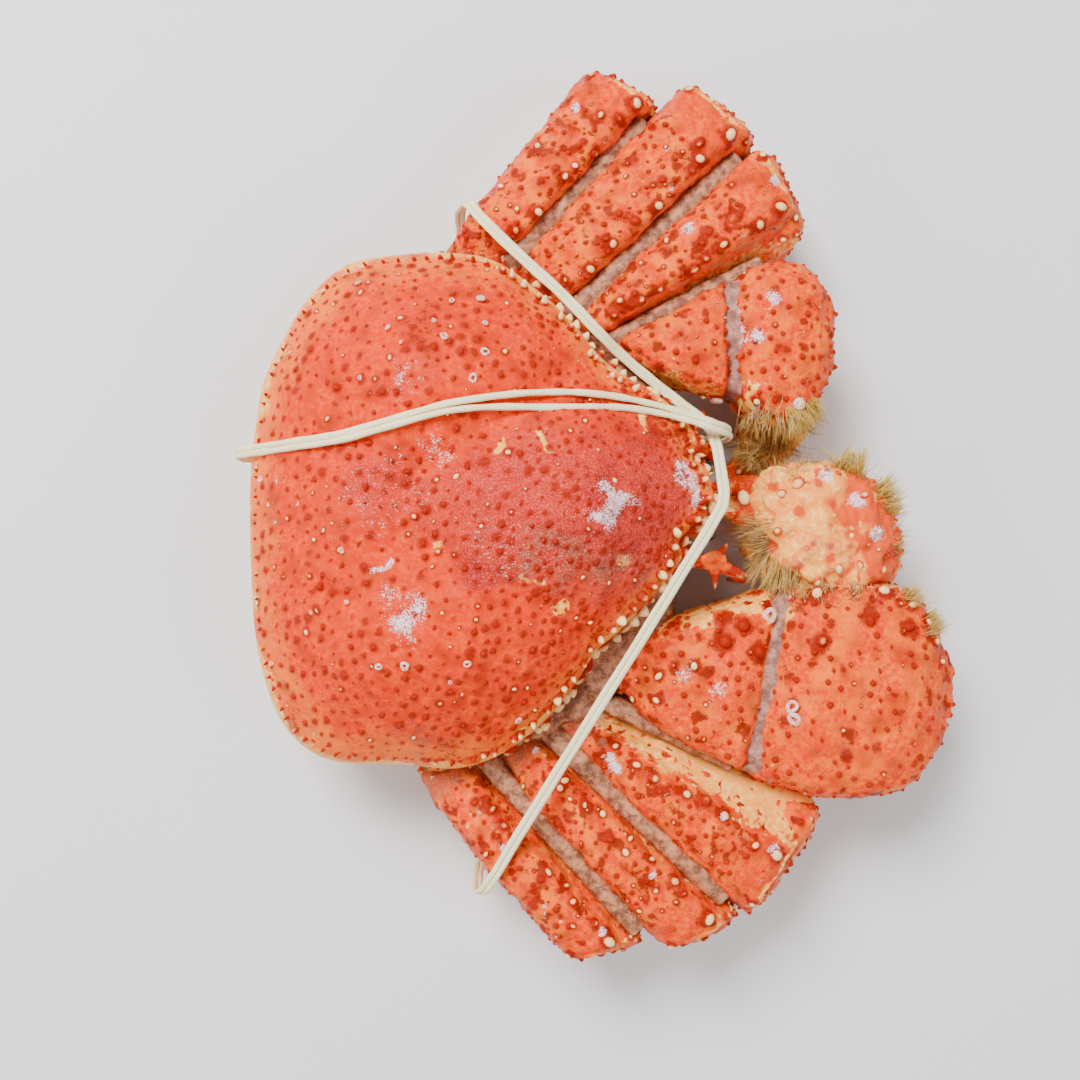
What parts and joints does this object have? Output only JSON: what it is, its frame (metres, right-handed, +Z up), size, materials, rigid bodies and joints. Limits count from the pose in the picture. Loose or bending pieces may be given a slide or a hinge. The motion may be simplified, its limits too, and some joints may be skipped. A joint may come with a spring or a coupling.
{
  "type": "false king crab",
  "caption": "Cooked Chilean snow crab, a false king crab, lying folded on its belly with legs and claws bound by two elastic bands; a still life-size specimen.",
  "frame": {"origin": "on the floor, at the middle of the bounding box seen from above", "axes": "+X towards the crab's front (rostrum), +Y towards the crab's left, +Z up from the floor it lies on"},
  "size_m": [0.1643, 0.2123, 0.0626],
  "materials": {
    "shell": "granular, orange red with darker granules",
    "pale_shell": "smooth, cream to peach",
    "eye": "dark, glossy",
    "band": "ivory white, dull"
  },
  "bodies": {
    "root": {"acicle_left": "shell", "acicle_right": "shell", "antenna_left": "shell", "antenna_right": "shell", "antennule_left": "shell", "antennule_right": "shell", "band_crosswise": "band", "band_lengthwise": "band", "carapace": "shell", "claw_left_carpus": "shell", "claw_left_coxa": "pale_shell", "claw_left_finger": "pale_shell", "claw_left_merus": "shell", "claw_left_palm": "pale_shell", "claw_right_carpus": "shell", "claw_right_coxa": "pale_shell", "claw_right_finger": "pale_shell", "claw_right_merus": "shell", "claw_right_palm": "pale_shell", "eye_left": "eye", "eye_right": "eye", "leg_2_left_carpus": "shell", "leg_2_left_coxa": "pale_shell", "leg_2_left_dactyl": "shell", "leg_2_left_merus": "shell", "leg_2_left_propodus": "pale_shell", "leg_2_right_carpus": "shell", "leg_2_right_coxa": "pale_shell", "leg_2_right_dactyl": "shell", "leg_2_right_merus": "shell", "leg_2_right_propodus": "pale_shell", "leg_3_left_carpus": "shell", "leg_3_left_coxa": "pale_shell", "leg_3_left_dactyl": "shell", "leg_3_left_merus": "shell", "leg_3_left_propodus": "pale_shell", "leg_3_right_carpus": "shell", "leg_3_right_coxa": "pale_shell", "leg_3_right_dactyl": "shell", "leg_3_right_merus": "shell", "leg_3_right_propodus": "pale_shell", "leg_4_left_carpus": "shell", "leg_4_left_coxa": "pale_shell", "leg_4_left_dactyl": "shell", "leg_4_left_merus": "shell", "leg_4_left_propodus": "pale_shell", "leg_4_right_carpus": "shell", "leg_4_right_coxa": "pale_shell", "leg_4_right_dactyl": "shell", "leg_4_right_merus": "shell", "leg_4_right_propodus": "pale_shell", "maxilliped_left": "pale_shell", "maxilliped_right": "pale_shell", "pleon": "pale_shell", "thorax": "pale_shell"}
  },
  "joints": []
}
